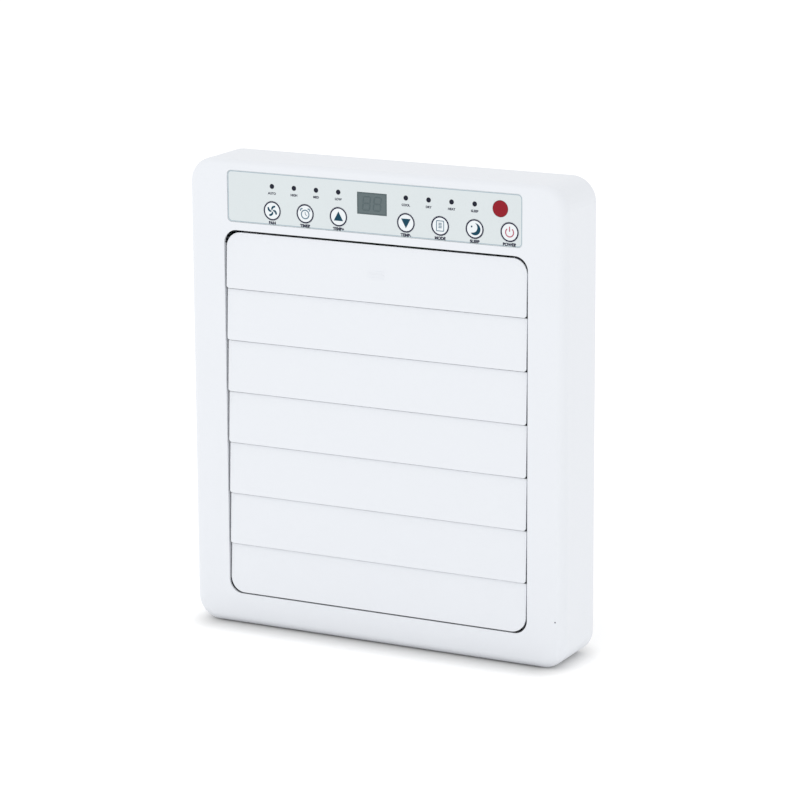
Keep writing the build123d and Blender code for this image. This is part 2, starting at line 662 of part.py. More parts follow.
def evaporator_tubes():
    columns = tube_grid(EVAP_ROWS, EVAP_Y0, EVAP_Y1, EVAP_Z0, EVAP_Z1)
    return group([serpentine(column, -EVAP_X - 4, EVAP_X + 4) for column in columns])


def coil_bracket(side):
    """End plate that stands on the middle shelf and holds the coil and the blower."""
    x0, x1 = sorted((side * COIL_X, side * (COIL_X + SHEET)))
    return block(x0, x1, CORE_Y0, CORE_Y1 - 1, SHELF_Z + SHEET, TOP_SHELF_Z)


def left_bracket():
    bracket = coil_bracket(-1)
    return bracket - cyl_x(-COIL_X - 3, -COIL_X + 2, BLOWER_Y, BLOWER_Z, 7.0)


def right_bracket():
    bracket = coil_bracket(1)
    for column in tube_grid(EVAP_ROWS, EVAP_Y0, EVAP_Y1, EVAP_Z0, EVAP_Z1):
        y, z = column[0]
        bracket = bracket - cyl_x(COIL_X - 1, COIL_X + 3, y, z, PIPE_R + 1.5)
    return bracket


def drain_pipe():
    """Carries the tray's water down to the base pan."""
    x, y = -COIL_X - 8, CORE_Y0 + 8
    down = cyl_z(x, y, PAN_Z + 9, EVAP_Z0 - 5, 4.0)
    return down - cyl_z(x, y, PAN_Z + 8, EVAP_Z0 - 4, 3.0)


def drain_tray():
    """Gutter under the indoor coil, with the pipe that empties it into the base pan."""
    y0, y1 = EVAP_Y0 - 1.0, EVAP_Y1 + 3.0
    z0, z1 = EVAP_Z0 - 10.0, EVAP_Z0 - 2.0
    outer = block(-COIL_X + 0.3, COIL_X - 0.3, y0, y1, z0, z1)
    inner = block(-COIL_X + 1.8, COIL_X - 1.8, y0 + 1.5, y1 - 1.5, z0 + 1.5, z1 + 1)
    return group([outer - inner, drain_pipe()])


def scroll_housing():
    """Rear guide that turns the blower's air forwards, with its end cheeks."""
    r0 = BLOWER_R + BLOWER_GAP
    plane = Plane((BLOWER_X0 - 3, BLOWER_Y, BLOWER_Z), x_dir=(0, 1, 0), z_dir=(1, 0, 0))
    ring = Circle(r0 + 1.3) - Circle(r0)
    keep = Pos(r0, -r0 * 0.2) * Rectangle(2 * r0, 2.4 * r0)
    length = BLOWER_X1 - BLOWER_X0 + 6
    guide = extrude(plane * (ring & keep), amount=length)
    floor_z = BLOWER_Z - r0 - 1.3
    floor = block(BLOWER_X0 - 3, BLOWER_X1 + 3, CORE_Y0 + 1, BLOWER_Y + 0.5, floor_z, floor_z + 1.3)
    return guide + floor


def air_tongue():
    """Edge in front of the blower that keeps the two air streams apart."""
    y0 = CORE_Y0 + 0.5
    z0 = BLOWER_Z + BLOWER_R * 0.62
    return block(-COIL_X + 0.5, COIL_X - 0.5, y0, y0 + 1.5, z0, EVAP_Z0 - 10.2)


def blower_wheel():
    """Cross-flow wheel: end discs, two middle rings and long forward-curved blades."""
    width = BLOWER_X1 - BLOWER_X0
    discs = []
    for share in (0.0, 1 / 3, 2 / 3, 1.0):
        x = BLOWER_X0 + share * (width - 2)
        disc = cyl_x(x, x + 2, BLOWER_Y, BLOWER_Z, BLOWER_R)
        if 0 < share < 1:
            disc = disc - cyl_x(x - 1, x + 3, BLOWER_Y, BLOWER_Z, BLOWER_R - 7)
        discs.append(disc)
    blade = block(BLOWER_X0 + 0.5, BLOWER_X1 - 0.5, -0.45, 0.45, BLOWER_R - 6.4, BLOWER_R - 0.6)
    blades = []
    for k in range(BLOWER_BLADES):
        turn = Pos(0, BLOWER_Y, BLOWER_Z) * Rot(360 * k / BLOWER_BLADES, 0, 0)
        lean = Pos(0, 0, BLOWER_R - 3.5) * Rot(28, 0, 0) * Pos(0, 0, -(BLOWER_R - 3.5))
        blades.append(turn * lean * blade)
    stub = cyl_x(BLOWER_X0 - 16, BLOWER_X0 + 1, BLOWER_Y, BLOWER_Z, SHAFT_R)
    hub = cyl_x(BLOWER_X1 - 12, BLOWER_X1, BLOWER_Y, BLOWER_Z, 7.0)
    wheel = join(discs + blades + [stub, hub])
    return wheel - cyl_x(BLOWER_X1 - 10, BLOWER_X1 + 1, BLOWER_Y, BLOWER_Z, SHAFT_R + PIN_CLEAR)


def blower_bearing():
    """Rubber-mounted plain bearing in the left bracket."""
    outer = cyl_x(-COIL_X - 4, -COIL_X + 6, BLOWER_Y, BLOWER_Z, 6.8)
    return outer - cyl_x(-COIL_X - 5, -COIL_X + 7, BLOWER_Y, BLOWER_Z, SHAFT_R + PIN_CLEAR)


def blower_motor():
    """Motor can between the wheel and the right bracket, with its shaft in the wheel."""
    can_r = min(19.0, BLOWER_R - 1.0)
    can = cyl_x(BLOWER_X1 + 4, COIL_X - 0.2, BLOWER_Y, BLOWER_Z, can_r)
    can = fillet(can.edges().filter_by(GeomType.CIRCLE), 2.0)
    return can + cyl_x(BLOWER_X1 - 9, BLOWER_X1 + 5, BLOWER_Y, BLOWER_Z, SHAFT_R)


# ---- outdoor side ---------------------------------------------------------------------
def condenser_fins():
    return fin_stack(COND_FINS, COND_X0 + 18, COND_X1 - 18, COND_Y0, COND_Y1,
                     COND_Z0, COND_Z1, COND_ROWS)


def condenser_tubes():
    columns = tube_grid(COND_ROWS, COND_Y0, COND_Y1, COND_Z0, COND_Z1)
    return group([serpentine(column, COND_X0 + 14, COND_X1 - 14) for column in columns])


def fan_shroud():
    """Plate with a short ring that guides the air through the outdoor coil."""
    y1 = COND_Y0 - 1.5
    plate = block(COND_X0, COND_X1, y1 - 1.2, y1, PAN_Z + SHEET + 0.2, SHELF_Z - 0.5)
    ring = cyl_y(FAN_X, y1 - 9, y1, FAN_Z, FAN_R + 3.4)
    mouth = cyl_y(FAN_X, y1 - 10, y1 + 1, FAN_Z, FAN_R + 2.0)
    return plate + ring - mouth


FAN_Y1 = COND_Y0 - 3.0
FAN_Y0 = FAN_Y1 - 9.0


def condenser_fan():
    """Axial fan with pitched blades."""
    hub = cyl_y(FAN_X, FAN_Y0, FAN_Y1, FAN_Z, 15.0)
    blades = []
    for k in range(FAN_BLADES):
        blade = Pos(FAN_R / 2 + 7, 0, 0) * Rot(28, 0, 0) * Box(FAN_R - 14, 1.4, 17)
        turn = Pos(FAN_X, (FAN_Y0 + FAN_Y1) / 2, FAN_Z) * Rot(0, 360 * k / FAN_BLADES, 0)
        blades.append(turn * blade)
    fan = join([hub] + blades)
    fan = fan & cyl_y(FAN_X, FAN_Y0, FAN_Y1, FAN_Z, FAN_R)
    return fan - cyl_y(FAN_X, FAN_Y0 - 1, FAN_Y1 - 2, FAN_Z, SHAFT_R + PIN_CLEAR)


def fan_motor():
    """Flat motor on the bulkhead, with its shaft in the fan."""
    can = cyl_y(FAN_X, CORE_Y0 + SHEET + 0.1, FAN_Y0 - 1.0, FAN_Z, 18.0)
    return can + cyl_y(FAN_X, FAN_Y0 - 1.2, FAN_Y1 - 3, FAN_Z, SHAFT_R)


def compressor():
    """Small upright rotary compressor with domed ends and three feet."""
    y = BLOWER_Y
    z0, z1 = PAN_Z + SHEET + 7.0, SHELF_Z - 24.0
    can = cyl_z(COMPRESSOR_X, y, z0, z1, COMPRESSOR_R)
    can = fillet(can.edges().filter_by(GeomType.CIRCLE), 7.0)
    foot = RegularPolygon(COMPRESSOR_R + 6.5, 3)
    foot = fillet(foot.vertices(), 5.0)
    plate = extrude(Pos(COMPRESSOR_X, y, z0 - 1.5) * Rot(0, 0, 90) * foot, amount=2.5)
    space = block(COMPRESSOR_X - 60, COMPRESSOR_X + 60, CORE_Y0 + SHEET + 1, CORE_Y1 - 2.5,
                  z0 - 2, z0 + 2)
    return can + (plate & space)


def compressor_grommets():
    """Rubber feet between the compressor and the base pan."""
    z0 = PAN_Z + SHEET
    top = PAN_Z + SHEET + 5.5
    pads = []
    for dx, dy in ((-14, -8), (14, -8), (0, 13)):
        pads.append(cyl_z(COMPRESSOR_X + dx, BLOWER_Y + dy, z0, top, 5.0))
    return group(pads)


ACC_R = 11.0
ACC_X = COMPRESSOR_X - COMPRESSOR_R - ACC_R - 4.0


def accumulator():
    """Suction accumulator beside the compressor."""
    can = cyl_z(ACC_X, BLOWER_Y, PAN_Z + 30, SHELF_Z - 34, ACC_R)
    return fillet(can.edges().filter_by(GeomType.CIRCLE), 5.0)


def suction_pipe():
    """From the indoor coil down through the shelf to the accumulator's top."""
    y, z = tube_grid(EVAP_ROWS, EVAP_Y0, EVAP_Y1, EVAP_Z0, EVAP_Z1)[0][0]
    x = COIL_X + 12
    yb = CORE_Y0 + 12
    z_turn = SHELF_Z - 14
    points = [(EVAP_X + 4, y, z), (x, y, z), (x, yb, z - 22), (x, yb, z_turn),
              (ACC_X, BLOWER_Y, z_turn), (ACC_X, BLOWER_Y, SHELF_Z - 34)]
    return pipe(points, 6.0, PIPE_R)


def discharge_pipe():
    """From the compressor's top across to the outdoor coil."""
    y, z = tube_grid(COND_ROWS, COND_Y0, COND_Y1, COND_Z0, COND_Z1)[1][-1]
    top = SHELF_Z - 24.0
    x = COMPRESSOR_X + 6
    points = [(x, BLOWER_Y, top), (x, BLOWER_Y, top + 17), (x, CORE_Y1 - 6, top + 17),
              (COND_X1 + 10, CORE_Y1 - 6, top + 17), (COND_X1 + 10, y, z), (COND_X1 - 14, y, z)]
    return pipe(points, 6.0, PIPE_R)


def expansion_line():
    """Copper drier beside the outdoor coil, and the coiled capillary above it."""
    x, y = COND_X1 + 12, COND_Y0 + 4
    can = cyl_z(x, y, PAN_Z + 34, PAN_Z + 84, 7.0)
    can = fillet(can.edges().filter_by(GeomType.CIRCLE), 3.0)
    coil = Helix(pitch=3.2, height=19.2, radius=8.0)
    section = Plane(coil @ 0, z_dir=coil % 0) * Circle(1.1)
    return group([can, Pos(x, y, PAN_Z + 90) * sweep(section, path=coil, is_frenet=True)])


def drain_spout():
    """Rear outlet for the base pan's water, bored for a hose."""
    x = -WIDTH / 2 + DRAIN_SIDE
    spout = cyl_y(x, BACK - 20, BACK, DRAIN_Z, DRAIN_R + 3.0)
    return spout - cyl_y(x, BACK - 21, BACK + 1, DRAIN_Z, DRAIN_R)


# ---- electronics bay ------------------------------------------------------------------
def power_board():
    """Supply board on the top shelf with its large parts."""
    z = TOP_SHELF_Z + SHEET + 5.0
    y0, y1 = CORE_Y0 + 6, CORE_Y1 - 8
    board = block(-90, 60, y0, y1, z, z + 1.6)
    parts = [cyl_z(-70 + 26 * k, y0 + 14, z + 1.5, z + 24, 9.0) for k in range(3)]
    parts.append(block(14, 50, y0 + 4, y0 + 30, z + 1.5, z + 26))
    parts.append(block(-84, -30, y1 - 8, y1 - 5, z + 1.5, z + 30))
    for x in (-84, 54):
        for y in (y0 + 6, y1 - 6):
            parts.append(cyl_z(x, y, z - 5.0, z + 0.2, 2.5))
    return join([board] + parts)


def power_inlet():
    """Recessed three-pole power inlet in the rear panel."""
    x, z = inlet_place()
    body = block(x - 14, x + 14, BACK - 22, BACK, z - 10, z + 10)
    cavity = block(x - 11.5, x + 11.5, BACK - 16, BACK + 1, z - 7.5, z + 7.5)
    pins = [block(x + dx - 1, x + dx + 1, BACK - 17, BACK - 3, z + dz - 2, z + dz + 2)
            for dx, dz in ((-7, -2), (7, -2), (0, 2))]
    return join([body - cavity] + pins)


# ---- build ----------------------------------------------------------------------------
def build():
    nodes = {
        "front_casing": front_casing(),
        "rear_panel": rear_panel(),
        "screws": group(rear_screws() + board_screws()),
        "base_pan": base_pan(),
        "front_bulkhead": front_bulkhead(),
        "middle_shelf": middle_shelf(),
        "top_shelf": top_shelf(),
        "tie_bar": tie_bar(),
        "door_frame": door_frame(),
        "louvre_motor": louvre_motor(),
        "filter_frame": filter_frame(),
        "filter_mesh": filter_mesh(),
        "latch_body": latch_body(),
        "latch_plunger": latch_plunger(),
        "latch_spring": latch_spring(),
        "control_panel": control_panel(),
        "lamp_lenses": lamp_lenses(),
        "board_parts": board_parts(),
        "display_lens": display_lens(),
        "display_module": display_module(),
        "receiver_lens": receiver_lens(),
        "control_board": control_board(),
        "evaporator_fins": evaporator_fins(),
        "evaporator_tubes": evaporator_tubes(),
        "left_bracket": left_bracket(),
        "right_bracket": right_bracket(),
        "drain_tray": drain_tray(),
        "scroll_housing": scroll_housing(),
        "air_tongue": air_tongue(),
        "blower_wheel": blower_wheel(),
        "blower_bearing": blower_bearing(),
        "blower_motor": blower_motor(),
        "condenser_fins": condenser_fins(),
        "condenser_tubes": condenser_tubes(),
        "fan_shroud": fan_shroud(),
        "condenser_fan": condenser_fan(),
        "fan_motor": fan_motor(),
        "compressor": compressor(),
        "compressor_grommets": compressor_grommets(),
        "accumulator": accumulator(),
        "suction_pipe": suction_pipe(),
        "discharge_pipe": discharge_pipe(),
        "expansion_line": expansion_line(),
        "drain_spout": drain_spout(),
        "power_board": power_board(),
        "power_inlet": power_inlet(),
    }
    for index in range(LOUVRES):
        nodes[f"louvre_{index + 1}"] = louvre(index)
    for name in KEYS:
        nodes[name] = key(name)
    return nodes


os.makedirs("parts", exist_ok=True)
for node, shape in build().items():
    export_step(shape, f"parts/{node}.step")
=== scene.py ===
# %% [markdown]
# # A slim window air conditioner, dressed for a studio picture
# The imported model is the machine: its casing, louvres, door, keys, coils and fans are already
# there, in metres, each on the body that moves it. This lesson adds what a machine model leaves
# out: the camera and light, the finish of every plastic and metal, the printed control panel, the
# woven filter and the fine coil fins. Nothing that was loaded is moved or reshaped.

# %% Load the machine and keep its box
import math

import bmesh
import bpy
import numpy as np
from mathutils import Matrix, Vector


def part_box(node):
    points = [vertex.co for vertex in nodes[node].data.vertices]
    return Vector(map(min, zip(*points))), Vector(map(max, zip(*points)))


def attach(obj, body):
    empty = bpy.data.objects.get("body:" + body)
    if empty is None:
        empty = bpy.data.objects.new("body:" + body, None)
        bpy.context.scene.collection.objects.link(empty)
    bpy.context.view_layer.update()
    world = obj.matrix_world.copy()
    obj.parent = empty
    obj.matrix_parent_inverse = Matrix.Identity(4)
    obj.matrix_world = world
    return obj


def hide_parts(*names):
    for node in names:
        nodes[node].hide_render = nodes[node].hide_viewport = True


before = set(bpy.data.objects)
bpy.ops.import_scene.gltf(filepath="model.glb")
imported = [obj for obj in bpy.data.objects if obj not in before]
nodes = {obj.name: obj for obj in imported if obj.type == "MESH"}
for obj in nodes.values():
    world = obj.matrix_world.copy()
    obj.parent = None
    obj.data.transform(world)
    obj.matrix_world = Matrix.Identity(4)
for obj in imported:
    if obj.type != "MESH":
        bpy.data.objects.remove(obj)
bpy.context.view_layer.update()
MM = 0.001


case_low, case_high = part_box("front_casing")
FRONT = case_low.y
HEIGHT = case_high.z - case_low.z
print("casing, mm:", [round(v / MM) for v in case_high - case_low])

# %% [markdown]
# ## The camera
# The picture looks at the unit from its right, a little from above, with a long lens, so the
# upright edges stay nearly parallel. The camera is placed by angles and a distance in casing
# heights, round a point near the middle of the front face. That keeps the view the same if the
# casing's size changes.

# %% Camera
VIEW_AZIMUTH = math.radians(27.49)
VIEW_ELEVATION = math.radians(13.45)
VIEW_ROLL = math.radians(-0.31)
VIEW_DISTANCE = 7.191 * HEIGHT
LENS_MM = 157.95
aim = Vector((0.061 * HEIGHT, FRONT, case_low.z + (0.5 + 0.0315) * HEIGHT))
backward = Vector((math.sin(VIEW_AZIMUTH) * math.cos(VIEW_ELEVATION),
                   -math.cos(VIEW_AZIMUTH) * math.cos(VIEW_ELEVATION),
                   math.sin(VIEW_ELEVATION)))
level_right = (-backward).cross(Vector((0, 0, 1))).normalized()
level_up = backward.cross(level_right)
right = level_right * math.cos(VIEW_ROLL) + level_up * math.sin(VIEW_ROLL)
up = backward.cross(right)

camera_data = bpy.data.cameras.new("camera")
camera_data.lens = LENS_MM
camera_data.sensor_width = 36.0
camera_data.clip_end = 100.0
camera = bpy.data.objects.new("camera", camera_data)
turn = Matrix((right, up, backward)).transposed().to_4x4()
camera.matrix_world = Matrix.Translation(aim + backward * VIEW_DISTANCE) @ turn
bpy.context.scene.collection.objects.link(camera)
bpy.context.scene.camera = camera
print("camera at", [round(v, 2) for v in camera.matrix_world.translation])

# %% [markdown]
# ## Light and floor
# White plastic on white needs almost shadowless light: a white room all round, one large soft
# box above and in front for a hint of shape, and a floor bright enough to vanish. The standard
# view transform keeps white as white.

# %% World, soft box and floor
ROOM_LIGHT = 1.0
SOFT_BOX_WATTS = 5.0
FLOOR_HALF = 8.0
CONTACT_IN_X, CONTACT_IN_Y = 0.034, 0.01
CONTACT_REACH = 0.046
CONTACT_FALL = 0.6
FLOOR_GLOW = 0.16
bpy.context.scene.view_settings.view_transform = "Standard"
world = bpy.data.worlds.new("white_room")
world.use_nodes = True
world.node_tree.nodes["Background"].inputs["Color"].default_value = (1, 1, 1, 1)
world.node_tree.nodes["Background"].inputs["Strength"].default_value = ROOM_LIGHT
bpy.context.scene.world = world

soft_data = bpy.data.lights.new("soft_box", "AREA")
soft_data.shape = "RECTANGLE"
soft_data.size, soft_data.size_y = 1.8, 1.2
soft_data.energy = SOFT_BOX_WATTS
soft_box = bpy.data.objects.new("soft_box", soft_data)
soft_box.location = (-1.0, -1.6, 1.9)
soft_aim = Vector((0, 0, 0.25)) - soft_box.location
soft_box.rotation_euler = soft_aim.to_track_quat("-Z", "Y").to_euler()
bpy.context.scene.collection.objects.link(soft_box)


def mesh_object(name, points, faces, smooth=False):
    """A mesh object from an array of points (n, 3) and faces (m, k), linked at the origin."""
    mesh = bpy.data.meshes.new(name)
    mesh.from_pydata(points.tolist(), [], faces.tolist())
    mesh.update()
    mesh.shade_smooth() if smooth else mesh.shade_flat()
    made = bpy.data.objects.new(name, mesh)
    bpy.context.scene.collection.objects.link(made)
    return made


floor_points = np.array([[x, y, 0.0] for x, y in ((-1, -1), (1, -1), (1, 1), (-1, 1))]) * FLOOR_HALF
floor = mesh_object("floor", floor_points, np.array([[0, 1, 2, 3]]))

# %% [markdown]
# ## Shader maths as Python
# A finish is easier to read as an expression than as a web of nodes. `Wire` wraps a socket and
# turns +, -, * and / into Math nodes, so a mask can be written `1 - mask`. `Finish` owns one
# material: `node` adds any node with its settings first and its inputs after.

# %% Wire and Finish


class Wire:
    """A number on its way through a material; arithmetic on it adds Math nodes."""

    def __init__(self, finish, socket):
        self.finish = finish
        self.socket = socket

    def _math(self, operation, *values):
        made = self.finish.node("ShaderNodeMath", {"operation": operation}, *values)
        return Wire(self.finish, made.outputs[0])

    def __add__(self, other):
        return self._math("ADD", self, other)

    __radd__ = __add__

    def __sub__(self, other):
        return self._math("SUBTRACT", self, other)

    def __rsub__(self, other):
        return self._math("SUBTRACT", other, self)

    def __mul__(self, other):
        return self._math("MULTIPLY", self, other)

    __rmul__ = __mul__

    def __truediv__(self, other):
        return self._math("DIVIDE", self, other)

    def __pow__(self, power):
        return self._math("POWER", self, power)

    def __abs__(self):
        return self._math("ABSOLUTE", self)

    def positive(self):
        return self._math("MAXIMUM", self, 0.0)

    def clamped(self):
        return self._math("MINIMUM", self.positive(), 1.0)


class Finish:
    """One node material around a Principled shader."""

    def __init__(self, name, **plain):
        self.material = bpy.data.materials.new(name)
        self.material.use_nodes = True
        self.tree = self.material.node_tree
        self.shader = self.tree.nodes["Principled BSDF"]
        for key, value in plain.items():
            self.shader.inputs[key.replace("_", " ")].default_value = value

    def link(self, value, socket):
        if isinstance(value, Wire):
            self.tree.links.new(value.socket, socket)
        elif isinstance(value, bpy.types.NodeSocket):
            self.tree.links.new(value, socket)
        else:
            socket.default_value = value

    def node(self, kind, settings=None, *values, **named):
        made = self.tree.nodes.new(kind)
        for key, value in (settings or {}).items():
            setattr(made, key, value)
        for index, value in enumerate(values):
            self.link(value, made.inputs[index])
        for key, value in named.items():
            self.link(value, made.inputs[key.replace("_", " ")])
        return made

    def place(self, stretch=(1, 1, 1)):
        """Object coordinates in metres, stretched along each axis."""
        coordinates = self.node("ShaderNodeTexCoord").outputs["Object"]
        mapping = self.node("ShaderNodeMapping", {"vector_type": "POINT"}, Vector=coordinates,
                            Scale=Vector(stretch))
        return mapping.outputs["Vector"]

    def noise(self, grain, detail=2.0, stretch=(1, 1, 1)):
        """Soft random field whose features are about grain metres across."""
        made = self.node("ShaderNodeTexNoise", None, Vector=self.place(stretch),
                         Scale=1.0 / grain, Detail=detail)
        return Wire(self, made.outputs["Fac"])

    def cells(self, grain, feature="F1", stretch=(1, 1, 1)):
        """Distance field of random cells about grain metres across."""
        made = self.node("ShaderNodeTexVoronoi", {"feature": feature},
                         Vector=self.place(stretch), Scale=1.0 / grain)
        return Wire(self, made.outputs["Distance"])

    def mix(self, mask, first, second):
        """Colour that goes from first to second as the mask goes from 0 to 1."""
        made = self.node("ShaderNodeMix", {"data_type": "RGBA"})
        self.link(mask, made.inputs["Factor"])
        self.link(first, made.inputs[6])
        self.link(second, made.inputs[7])
        return made.outputs[2]

    def colour(self, value):
        self.link(value, self.shader.inputs["Base Color"])

    def rough(self, value):
        self.link(value, self.shader.inputs["Roughness"])

    def bump(self, height, depth, strength=1.0):
        """Raise and lower the surface by about depth metres."""
        made = self.node("ShaderNodeBump", None, Height=height, Distance=depth, Strength=strength)
        self.link(made.outputs["Normal"], self.shader.inputs["Normal"])


def tint(red, green, blue, share=1.0):
    """A colour with its brightness scaled."""
    return (red * share, green * share, blue * share, 1.0)


# %% [markdown]
# ## Plastics
# Moulded plastic is never quite even. The mould's spark-eroded skin gives a grain of a third of
# a millimetre, the melt leaves slow clouds of gloss, and parts that are extruded or filled from
# one end have faint streaks along their length. One function makes all of the plastics, and each
# part gets its own grain, gloss and streaks.

# %% Plastic finishes


def moulded(name, rgb, gloss, grain, depth, cloud=0.02, streak=0.0, shine=0.5):
    """Plastic: colour clouds a few centimetres wide, grain bump, and streaks along X."""
    finish = Finish(name, IOR=1.47, Specular_IOR_Level=shine)
    clouds = finish.noise(0.05, 3.0)
    streaks = finish.noise(0.006, 1.0, (0.04, 1, 1))
    finish.colour(finish.mix(clouds, tint(*rgb, 1 - cloud), tint(*rgb, 1 + cloud)))
    finish.rough(gloss + (clouds - 0.5) * 0.12 + (streaks - 0.5) * streak)
    finish.bump(finish.noise(grain, 2.0) + streaks * streak, depth)
    return finish.material


CASING_RGB = (0.768, 0.79, 0.828)
casing_white = moulded("casing_white", CASING_RGB, 0.42, 0.00035, 0.000012, 0.008)
louvre_white = moulded("louvre_white", CASING_RGB, 0.36, 0.0003, 0.000008, 0.006, 0.1)
# Dark plastic for the door frame and its small parts. Its navy tint is chosen so the gaps between
# the louvres show painted shade.
frame_dark_gap_shade = moulded("frame_dark_gap_shade", (0.024, 0.03, 0.06), 0.5, 0.0005, 0.00002, 0.1)
guide_grey = moulded("guide_grey", (0.16, 0.18, 0.2), 0.55, 0.0008, 0.00003, 0.08)
filter_grey = moulded("filter_grey", (0.09, 0.13, 0.2), 0.5, 0.0005, 0.00002, 0.08)
fan_black = moulded("fan_black", (0.05, 0.055, 0.065), 0.4, 0.0006, 0.00002, 0.12)
socket_black = moulded("socket_black", (0.025, 0.025, 0.028), 0.45, 0.0004, 0.00002, 0.1)
overlay_film = moulded("overlay_film", (0.66, 0.71, 0.725), 0.34, 0.00018, 0.000004, 0.01)
key_film = moulded("key_film", (0.74, 0.78, 0.8), 0.3, 0.00018, 0.000004, 0.01)
lamp_dark = moulded("lamp_dark", (0.004, 0.006, 0.02), 0.12, 0.0002, 0.000002, 0.2, shine=0.25)
window_smoke = moulded("window_smoke", (0.1, 0.135, 0.143), 0.16, 0.0003, 0.000002, 0.06, shine=0.5)
receiver_red = moulded("receiver_red", (0.27, 0.006, 0.016), 0.12, 0.0004, 0.000003, 0.12,
                       shine=0.2)
rubber_black = moulded("rubber_black", (0.02, 0.02, 0.02), 0.8, 0.0007, 0.00006, 0.2)

# %% [markdown]
# ## Inks
# The legends are screen-printed: a matt ink film whose colour is not quite even, because the mesh
# of the screen leaves it thicker in places.

# %% Ink finishes


def ink(name, rgb):
    """Printed film: fine uneven colour and a matt face."""
    finish = Finish(name, Specular_IOR_Level=0.2)
    mottle = finish.noise(0.0006, 3.0)
    finish.colour(finish.mix(mottle, tint(*rgb, 0.85), tint(*rgb, 1.15)))
    finish.rough(0.45 + mottle * 0.15)
    return finish.material


ink_navy = ink("ink_navy", (0.006, 0.006, 0.035))
ink_teal = ink("ink_teal", (0.0, 0.05, 0.09))
ink_grey = ink("ink_grey", (0.09, 0.17, 0.23))
ink_pink = ink("ink_pink", (0.42, 0.07, 0.12))
# Grey-blue line at the overlay's recessed edge: painted shade
recess_line_painted_shade = ink("recess_line_painted_shade", (0.36, 0.45, 0.51))
ink_segment = ink("ink_segment", (0.088, 0.12, 0.128))
ink_white = ink("ink_white", (0.79, 0.83, 0.85))

# %% [markdown]
# ## Metals
# The sheet steel is powder-coated, so it has the soft dimples called orange peel. Coil fins are
# bright rolled aluminium with lines along the roll, tubes are copper that has started to dull,
# and the compressor is baked black enamel.

# %% Metal finishes


def powder_coat(name, rgb, gloss):
    """Powder coat: orange-peel dimples two millimetres wide under a fine speckle."""
    finish = Finish(name, IOR=1.5)
    speckle = finish.noise(0.0004, 1.0)
    finish.colour(finish.mix(speckle, tint(*rgb, 0.96), tint(*rgb, 1.04)))
    finish.rough(gloss + (finish.noise(0.03, 2.0) - 0.5) * 0.15)
    finish.bump(finish.cells(0.0022, "SMOOTH_F1") + speckle * 0.3, 0.00005)
    return finish.material


def bare_metal(name, rgb, gloss, stretch, tarnish=0.2):
    """Bare metal: rolling lines along the stretched axis and slow patches of tarnish."""
    finish = Finish(name, Metallic=1.0)
    lines = finish.noise(0.0008, 2.0, stretch)
    patches = finish.noise(0.02, 4.0)
    finish.colour(finish.mix(patches, tint(*rgb, 1 - tarnish), tint(*rgb)))
    finish.rough(gloss + (lines - 0.5) * 0.3 + (patches - 0.5) * 0.15)
    finish.bump(lines, 0.00001)
    return finish.material


def circuit_board(name):
    """Solder mask over copper: paths a millimetre apart show as lighter, raised lines."""
    finish = Finish(name, IOR=1.5)
    paths = finish.cells(0.004, "DISTANCE_TO_EDGE", (1, 1, 1))
    copper = 1 - (paths * 9).clamped()
    finish.colour(finish.mix(copper, (0.006, 0.07, 0.03, 1), (0.02, 0.19, 0.075, 1)))
    finish.rough(0.3 + copper * 0.1)
    finish.bump(copper, 0.00003)
    return finish.material


sheet_grey = powder_coat("sheet_grey", (0.62, 0.65, 0.68), 0.42)
enamel_black = powder_coat("enamel_black", (0.012, 0.012, 0.014), 0.22)
rolled_aluminium = bare_metal("rolled_aluminium", (0.78, 0.8, 0.83), 0.32, (1, 1, 0.05), 0.08)
dull_copper = bare_metal("dull_copper", (0.72, 0.34, 0.2), 0.3, (0.05, 1, 1), 0.35)
plated_steel = bare_metal("plated_steel", (0.55, 0.55, 0.53), 0.3, (0.08, 1, 1), 0.15)
solder_green = circuit_board("solder_green")

# %% Give every loaded node its finish
FINISHES = {
    casing_white: ["front_casing"],
    louvre_white: [name for name in nodes if name.startswith("louvre_") and name[-1].isdigit()],
    frame_dark_gap_shade: ["door_frame", "tie_bar", "latch_body", "latch_plunger"],
    sheet_grey: ["rear_panel", "base_pan", "front_bulkhead", "middle_shelf", "top_shelf",
                 "left_bracket", "right_bracket", "fan_shroud"],
    guide_grey: ["scroll_housing", "air_tongue", "drain_tray", "blower_wheel", "drain_spout"],
    plated_steel: ["screws", "latch_spring", "louvre_motor", "blower_motor", "fan_motor"],
    filter_grey: ["filter_frame", "filter_mesh"],
    overlay_film: ["control_panel"],
    key_film: [name for name in nodes if name.startswith("key_")],
    lamp_dark: ["lamp_lenses"],
    window_smoke: ["display_lens"],
    receiver_red: ["receiver_lens"],
    socket_black: ["display_module", "board_parts", "power_inlet"],
    solder_green: ["control_board", "power_board"],
    rolled_aluminium: ["evaporator_fins", "condenser_fins"],
    dull_copper: ["evaporator_tubes", "condenser_tubes", "suction_pipe", "discharge_pipe",
                  "expansion_line"],
    rubber_black: ["blower_bearing", "compressor_grommets"],
    enamel_black: ["compressor", "accumulator"],
    fan_black: ["condenser_fan"],
}
dressed = set()
for material, names in FINISHES.items():
    for name in names:
        nodes[name].data.materials.clear()
        nodes[name].data.materials.append(material)
        dressed.add(name)
print("nodes without a finish:", sorted(set(nodes) - dressed))
